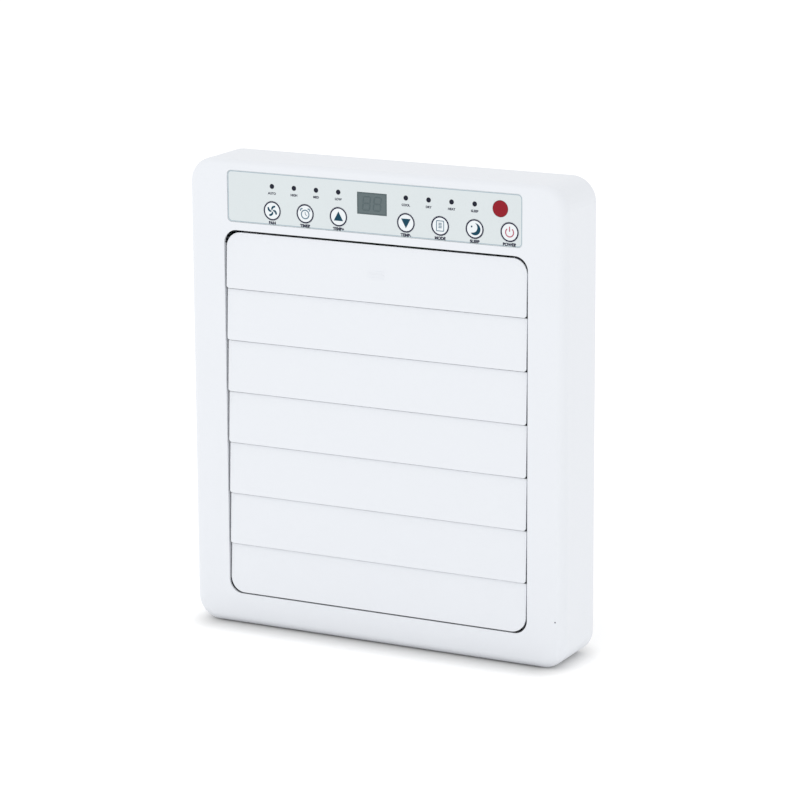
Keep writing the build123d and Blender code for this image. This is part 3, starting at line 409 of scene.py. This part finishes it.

# %% [markdown]
# ## Painted contact shadow
# Light that comes from all round leaves almost no shadow where a white body meets a white floor.
# A contact shadow is therefore painted: the floor's colour and glow darken within a few
# centimetres of the footprint. The darkness depends on the distance to a rectangle: how far a
# point lies beyond it in x and in y, combined as the long side of a triangle.

# %% Floor finish with the painted contact shadow
floor_finish = Finish("floor_white", Roughness=0.9, Specular_IOR_Level=0.0,
                      Emission_Strength=FLOOR_GLOW)
spot = floor_finish.node("ShaderNodeSeparateXYZ", None, floor_finish.place())
reach_x = ((case_high.x - case_low.x) / 2 - CONTACT_IN_X, (case_low.x + case_high.x) / 2)
reach_y = ((case_high.y - case_low.y) / 2 - CONTACT_IN_Y, (case_low.y + case_high.y) / 2)
beyond_x = (abs(Wire(floor_finish, spot.outputs["X"]) - reach_x[1]) - reach_x[0]).positive()
beyond_y = (abs(Wire(floor_finish, spot.outputs["Y"]) - reach_y[1]) - reach_y[0]).positive()
distance = (beyond_x * beyond_x + beyond_y * beyond_y) ** 0.5
# lit is 0 at the footprint and 1 beyond the reach: the mask of the painted contact shadow
lit = (distance / CONTACT_REACH).clamped() ** CONTACT_FALL
floor_cloud = floor_finish.noise(1.5, 2.0)
floor_white = floor_finish.mix(floor_cloud, tint(0.93, 0.93, 0.93), tint(0.95, 0.95, 0.95))
# Colour and glow both darken towards the footprint: painted contact shadow
floor_finish.colour(floor_finish.mix(lit, tint(0.22, 0.22, 0.22), floor_white))
floor_finish.link(floor_finish.mix(lit, tint(0.02, 0.02, 0.02), tint(1, 1, 1)),
                  floor_finish.shader.inputs["Emission Color"])
floor.data.materials.append(floor_finish.material)

# %% [markdown]
# ## Flat printed shapes
# Every legend is a thin solid film on the panel, so it survives as geometry in the exported
# model. A shape is drawn in millimetres as closed outlines; Blender's flat curve fills them,
# holes and all, and gives them their thickness. The result is turned into a mesh, stood upright
# and moved to its place. Strokes are outlines too: a path carried along with its normal on both
# sides.

# %% Outlines
FILM = 0.05
CIRCLE_POINTS = 48


def arc(centre, radius, start=0.0, stop=360.0, count=CIRCLE_POINTS):
    """Points on a circle between two angles in degrees."""
    angle = np.radians(np.linspace(start, stop, count, endpoint=abs(stop - start) < 359.9))
    return np.array(centre) + radius * np.column_stack([np.cos(angle), np.sin(angle)])


def stroke(path, width):
    """Outline of a path given a width: the path offset along its normal to each side."""
    path = np.asarray(path, float)
    along = np.gradient(path, axis=0)
    along /= np.linalg.norm(along, axis=1, keepdims=True)
    normal = np.column_stack([-along[:, 1], along[:, 0]])
    half = np.broadcast_to(np.asarray(width, float) / 2, (len(path),))[:, None]
    return np.vstack([path + normal * half, (path - normal * half)[::-1]])


def ring(centre, radius, width):
    """Two circles that bound a ring."""
    return [arc(centre, radius), arc(centre, radius - width)]


def rounded(width, height, radius, centre=(0, 0)):
    """Rounded rectangle: four quarter circles joined by straight sides."""
    corners = [(1, 1, 0), (-1, 1, 90), (-1, -1, 180), (1, -1, 270)]
    parts = [arc((sx * (width / 2 - radius), sy * (height / 2 - radius)), radius, a, a + 90, 9)
             for sx, sy, a in corners]
    return np.vstack(parts) + np.array(centre)


def upright(x, y, z):
    """Stands a flat drawing in millimetres up in the front plane at x, y, z in metres."""
    stand = Matrix.Rotation(math.pi / 2, 4, "X")
    return Matrix.Translation((x, y, z)) @ stand @ Matrix.Scale(MM, 4)


def to_mesh(name, curve, place):
    """Turn a curve or text datablock into a mesh object at its place."""
    drawn = bpy.data.objects.new(name + "_curve", curve)
    bpy.context.scene.collection.objects.link(drawn)
    bpy.context.view_layer.update()
    seen = drawn.evaluated_get(bpy.context.evaluated_depsgraph_get())
    mesh = bpy.data.meshes.new_from_object(seen)
    bpy.data.objects.remove(drawn)
    mesh.transform(place)
    mesh.name = name
    made = bpy.data.objects.new(name, mesh)
    bpy.context.scene.collection.objects.link(made)
    return made


def film(name, outlines, place, material, thick=FILM):
    """Filled outlines as a film that stands proud by its thickness."""
    curve = bpy.data.curves.new(name, "CURVE")
    curve.dimensions = "2D"
    curve.fill_mode = "BOTH"
    curve.extrude = thick / 2
    for outline in outlines:
        spline = curve.splines.new("POLY")
        spline.points.add(len(outline) - 1)
        flat = np.column_stack([outline, np.zeros(len(outline)), np.ones(len(outline))])
        spline.points.foreach_set("co", flat.astype(np.float32).ravel())
        spline.use_cyclic_u = True
    made = to_mesh(name, curve, place @ Matrix.Translation((0, 0, thick / 2)))
    made.data.materials.append(material)
    return made


def words(name, text, place, material, size, bold):
    """Text as a film, centred on its place."""
    curve = bpy.data.curves.new(name, "FONT")
    curve.body = text
    curve.size = size
    curve.offset = bold
    curve.extrude = FILM / 2
    curve.align_x = "CENTER"
    curve.align_y = "CENTER"
    made = to_mesh(name, curve, place @ Matrix.Translation((0, 0, FILM / 2)))
    made.data.materials.append(material)
    return made


def joined(name, pieces):
    """One object from several, each with its own material slot kept."""
    with bpy.context.temp_override(active_object=pieces[0], selected_objects=pieces,
                                   selected_editable_objects=pieces, object=pieces[0]):
        bpy.ops.object.join()
    pieces[0].name = name
    return pieces[0]


def middle(node):
    """Centre of a node's box in x and z, with the y of its front."""
    low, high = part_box(node)
    return (low.x + high.x) / 2, low.y, (low.z + high.z) / 2


# %% [markdown]
# ## Key legends
# Each key has a dark ring near its edge, a pale disc inside it and a sign in the middle. The ring
# and the sign ride on the key, so they go in when the key is pressed.

# %% Signs of the seven keys
RING_R = 9.95
RING_W = 1.4


def fan_sign():
    """Four blades: each a quarter turn of a spiral that widens outwards."""
    t = np.linspace(0.15, 1, 12)
    blades = []
    for k in range(4):
        angle = math.radians(112 + 90 * k) - 1.05 * t ** 1.4
        path = np.column_stack([np.cos(angle), np.sin(angle)]) * (5.9 * t)[:, None]
        blades.append(stroke(path, 0.5 + 1.7 * np.sin(t * 2.4)))
    return blades


def clock_sign():
    """Dial with two bells and its hands."""
    dial = ring((0, -0.7), 5.0, 1.15)
    bells = [stroke(arc((side * 3.9, 3.6), 1.5, 135 - 90 * (side > 0) - 80,
                        135 - 90 * (side > 0) + 80, 14), 1.3) for side in (-1, 1)]
    hands = [stroke([(-0.1, 1.9), (0.1, 0.4), (0.3, -1.0)], 0.7),
             stroke([(0.1, -1.0), (1.0, -1.3), (2.0, -1.6)], 0.7)]
    return dial + bells + hands


def triangle_sign(way):
    return [np.array([(0, 5.6), (-5.4, -4.2), (5.4, -4.2)]) * (1, way)]


def page_sign():
    """Sheet with lines of settings."""
    sheet = [rounded(9.0, 11.2, 1.0), rounded(7.3, 9.5, 0.5)]
    lines = [rounded(1.7, 0.9, 0.2, (x, z)) for x in (-0.95, 0.95) for z in (2.7, 1.2, -0.3, -1.8)]
    return sheet + lines


def moon_sign():
    """Crescent between two arcs, with a small star."""
    outer = arc((0.3, -0.2), 6.2, -140, 88, 30)
    inner = arc((-2.2, 1.5), 5.2, 52, -92, 26)
    star_angle = np.radians(np.arange(8) * 45 + 22.5)
    star_r = np.where(np.arange(8) % 2, 1.35, 0.75)
    star = np.column_stack([np.cos(star_angle), np.sin(star_angle)]) * star_r[:, None]
    return [np.vstack([outer, inner]), star + (-3.4, 2.4)]


def power_sign():
    """Open circle with a bar in its gap."""
    return [stroke(arc((0, -0.4), 4.4, 128, 412, 36), 1.15), rounded(1.15, 5.2, 0.3, (0, 3.0))]


SIGNS = {
    "key_fan": (fan_sign(), ink_teal),
    "key_timer": (clock_sign(), ink_grey),
    "key_temp_up": (triangle_sign(1), ink_teal),
    "key_temp_down": (triangle_sign(-1), ink_teal),
    "key_mode": (page_sign(), ink_grey),
    "key_sleep": (moon_sign(), ink_teal),
    "key_power": (power_sign(), ink_pink),
}
for key_name, (sign, colour) in SIGNS.items():
    place = upright(*middle(key_name))
    disc = film(key_name + "_disc", [arc((0, 0), RING_R - RING_W)], place, ink_white, 0.02)
    edge = film(key_name + "_ring", ring((0, 0), RING_R, RING_W), place, ink_navy)
    mark = film(key_name + "_sign", sign, place, colour)
    print_piece = joined(key_name + "_print", [disc, edge, mark])
    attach(print_piece, key_name)
print("key prints:", len(SIGNS))

# %% [markdown]
# ## Words, border and display
# The words are plain function names. They are centred under their lamp or key. The overlay also
# gets a thin grey-blue line just inside its edge, painted shade of its recessed step, and the
# display window shows the unlit bars of two digits.

# %% Words under lamps and keys
LAMP_WORDS = ["AUTO", "HIGH", "MED", "LOW", "COOL", "DRY", "HEAT", "SLEEP"]
KEY_WORDS = {"key_fan": "FAN", "key_timer": "TIMER", "key_temp_up": "TEMP+",
             "key_temp_down": "TEMP-", "key_mode": "MODE", "key_sleep": "SLEEP",
             "key_power": "POWER"}
LAMP_WORD_DROP = 7.4
KEY_WORD_DROP = 12.8
panel_low, panel_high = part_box("control_panel")
panel_mid_x, panel_front, panel_mid_z = middle("control_panel")
lamp_low, lamp_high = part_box("lamp_lenses")
lamp_r = (lamp_high.z - lamp_low.z) / 2
lamp_first, lamp_last = lamp_low.x + lamp_r, lamp_high.x - lamp_r
lamp_z = (lamp_low.z + lamp_high.z) / 2
key_x = {name: middle(name)[0] for name in KEY_WORDS}
lamp_step = (key_x["key_temp_up"] - lamp_first) / 3
lamp_x = [lamp_first + k * lamp_step for k in range(4)]
lamp_x += [lamp_last - k * lamp_step for k in (3, 2, 1, 0)]

legends = []
for k, (x, text) in enumerate(zip(lamp_x, LAMP_WORDS)):
    place = upright(x, panel_front, lamp_z - LAMP_WORD_DROP * MM)
    legends.append(words(f"lamp_word_{k}", text, place, ink_navy, 3.3, 0.14))
for name, text in KEY_WORDS.items():
    x, y, z = middle(name)
    place = upright(x, panel_front, z - KEY_WORD_DROP * MM)
    legends.append(words(name + "_word", text, place, ink_navy, 4.3, 0.24))
legend_piece = joined("panel_legends", legends)
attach(legend_piece, "housing")

# %% Border line of the overlay: painted shade along its recessed edge
panel_w = (panel_high.x - panel_low.x) / MM
panel_h = (panel_high.z - panel_low.z) / MM
BORDER_IN = 0.5
BORDER_W = 0.7
border = film("panel_border",
              [rounded(panel_w - 2 * BORDER_IN, panel_h - 2 * BORDER_IN, 4.4),
               rounded(panel_w - 2 * (BORDER_IN + BORDER_W), panel_h - 2 * (BORDER_IN + BORDER_W),
                       3.8)],
              upright(panel_mid_x, panel_front, panel_mid_z), recess_line_painted_shade)
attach(border, "housing")

# %% Small sighting hole on the right border, drawn as a dark disc of painted shade
PINHOLE_IN, PINHOLE_UP = 9.8, 51.7
# No hole is cut: a thin navy disc on the front paints the hole's shade.
pinhole = film("pinhole", [arc((0, 0), 0.75, count=16)],
               upright(case_high.x - PINHOLE_IN * MM, FRONT, case_low.z + PINHOLE_UP * MM),
               ink_navy, 0.01)
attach(pinhole, "housing")

# %% Digits and frame of the display
DIGIT_W, DIGIT_H, BAR_W, SLANT = 8.0, 14.0, 1.5, 0.1
DIGIT_APART = 12.4


def bar(x, z, length, upright_bar):
    """Six-cornered segment with pointed ends."""
    half, w = length / 2 - 0.25, BAR_W / 2
    outline = np.array([(-half, 0), (-half + w, w), (half - w, w), (half, 0), (half - w, -w),
                        (-half + w, -w)])
    return (outline[:, ::-1] if upright_bar else outline) + (x, z)


def eight(x):
    """The seven bars of one digit, leaned to the right."""
    bars = [bar(0, z, DIGIT_W, False) for z in (-DIGIT_H / 2, 0, DIGIT_H / 2)]
    bars += [bar(side * DIGIT_W / 2, z, DIGIT_H / 2, True) for side in (-1, 1)
             for z in (-DIGIT_H / 4, DIGIT_H / 4)]
    return [b + np.column_stack([b[:, 1] * SLANT, b[:, 1] * 0]) + (x, 0) for b in bars]


display_low, display_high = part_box("display_lens")
display_w = (display_high.x - display_low.x) / MM
display_h = (display_high.z - display_low.z) / MM
display_place = upright(*middle("display_lens"))
digits = film("display_digits", eight(-DIGIT_APART / 2) + eight(DIGIT_APART / 2),
              display_place, ink_segment, 0.02)
bezel = film("display_bezel", [rounded(display_w - 0.1, display_h - 0.1, 0.6),
                               rounded(display_w - 2.3, display_h - 2.3, 0.4)],
             display_place, ink_segment, 0.04)
display_print = joined("display_print", [digits, bezel])
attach(display_print, "housing")

# %% [markdown]
# ## The press mark
# The top louvre carries three short raised bars that show where to press the door. They are the
# louvre's own plastic, moulded three tenths of a millimetre proud, so only their shading shows.
# The louvre leans, so the bars are sheared to lie on it.

# %% Raised bars on the top louvre
MARK_X, MARK_DROP = 3.0, 31.0
BAR_LONG, BAR_HIGH, BAR_ROUND = 18.0, 1.4, 0.6
BAR_APART = 3.4
BAR_PROUD = 0.3
LOUVRE_STEP = 0.0024
LOUVRE_INSET = 0.0004
top_low, top_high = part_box("louvre_1")
lean = LOUVRE_STEP / (top_high.z - top_low.z)
mark_z = top_high.z - MARK_DROP * MM
mark_y = FRONT + LOUVRE_INSET + (mark_z - top_low.z) * lean
shear_to_face = Matrix.Identity(4)
shear_to_face[1][2] = lean
mark_place = (Matrix.Translation((MARK_X * MM, mark_y, mark_z)) @ shear_to_face
              @ upright(0, 0, 0))
press_mark = film("press_mark",
                  [rounded(BAR_LONG, BAR_HIGH, BAR_ROUND, (0, k * BAR_APART)) for k in (-1, 0, 1)],
                  mark_place, louvre_white, BAR_PROUD)
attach(press_mark, "louvre_1")

# %% [markdown]
# ## Filter net and coil fins
# The filter is a net of round threads about two millimetres apart, not a sheet. The coils are
# hundreds of thin corrugated fins. Each is made as whole arrays: one thread or one fin is a small
# closed profile carried along a line, and copies are made by adding an offset to all its points.

# %% Threads and fins as arrays


def carried(profile, start, end):
    """Closed tubes: profile rings (k, 3) at the start and end offsets (n, 3) of each tube."""
    n, k = len(start), len(profile)
    rings = np.stack([start[:, None, :] + profile, end[:, None, :] + profile], axis=1)
    points = rings.reshape(-1, 3)
    base = (np.arange(n) * 2 * k)[:, None]
    around = np.arange(k)
    nxt = (around + 1) % k
    sides = np.stack([around, nxt, nxt + k, around + k], axis=1)
    faces = (base[:, :, None] + sides[None]).reshape(-1, 4)
    return points, faces, base, k


def tubes(name, profile, start, end, material):
    """Mesh of many capped tubes that share one profile."""
    points, faces, base, k = carried(np.asarray(profile, float), np.asarray(start), np.asarray(end))
    first = (base + np.arange(k)[::-1]).tolist()
    last = (base + k + np.arange(k)).tolist()
    mesh = bpy.data.meshes.new(name)
    mesh.from_pydata(points.tolist(), [], faces.tolist() + first + last)
    mesh.update()
    made = bpy.data.objects.new(name, mesh)
    bpy.context.scene.collection.objects.link(made)
    made.data.materials.append(material)
    return made


def steady(mesh_piece):
    """Point every face outwards."""
    work = bmesh.new()
    work.from_mesh(mesh_piece.data)
    bmesh.ops.recalc_face_normals(work, faces=work.faces)
    work.to_mesh(mesh_piece.data)
    work.free()
    return mesh_piece


net_low, net_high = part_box("filter_mesh")
THREAD_R = 0.00017
THREAD_STEP = 0.0021
net_y = (net_low.y + net_high.y) / 2
corner = np.radians(np.arange(6) * 60)
round_yz = np.column_stack([corner * 0, np.cos(corner), np.sin(corner)]) * THREAD_R
round_xy = np.column_stack([np.cos(corner), np.sin(corner), corner * 0]) * THREAD_R
weft_z = np.arange(net_low.z + 0.001, net_high.z, THREAD_STEP)
warp_x = np.arange(net_low.x + 0.001, net_high.x, THREAD_STEP)
weft_start = np.column_stack([weft_z * 0 + net_low.x, weft_z * 0 + net_y - THREAD_R * 0.7, weft_z])
weft_end = weft_start + [net_high.x - net_low.x, 0, 0]
warp_start = np.column_stack([warp_x, warp_x * 0 + net_y + THREAD_R * 0.7, warp_x * 0 + net_low.z])
warp_end = warp_start + [0, 0, net_high.z - net_low.z]
weft = tubes("weft", round_yz, weft_start, weft_end, filter_grey)
warp = tubes("warp", round_xy, warp_start, warp_end, filter_grey)
net = steady(joined("filter_net", [weft, warp]))
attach(net, "door")
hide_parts("filter_mesh")
print("threads:", len(weft_z) + len(warp_x))


FIN_STEP, FIN_THICK, FIN_ZIGZAG = 0.0017, 0.00016, 0.0003


def fin_pack(name, node, step):
    """Corrugated fins: a zigzag line across the coil's depth, thickened and carried upwards."""
    low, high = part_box(node)
    y = np.linspace(low.y, high.y, 9)
    x = np.where(np.arange(9) % 2, FIN_ZIGZAG, -FIN_ZIGZAG)
    front_side = np.column_stack([x - FIN_THICK / 2, y, y * 0])
    back_side = np.column_stack([x + FIN_THICK / 2, y, y * 0])[::-1]
    place = np.arange(low.x + 0.0005, high.x - 0.0004, step)
    start = np.column_stack([place, place * 0, place * 0 + low.z])
    made = tubes(name, np.vstack([front_side, back_side]), start,
                 start + [0, 0, high.z - low.z], rolled_aluminium)
    steady(made)
    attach(made, "housing")
    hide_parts(node)
    print(name, len(place), "fins")
    return made


fin_pack("indoor_fin_pack", "evaporator_fins", FIN_STEP)
fin_pack("outdoor_fin_pack", "condenser_fins", FIN_STEP)
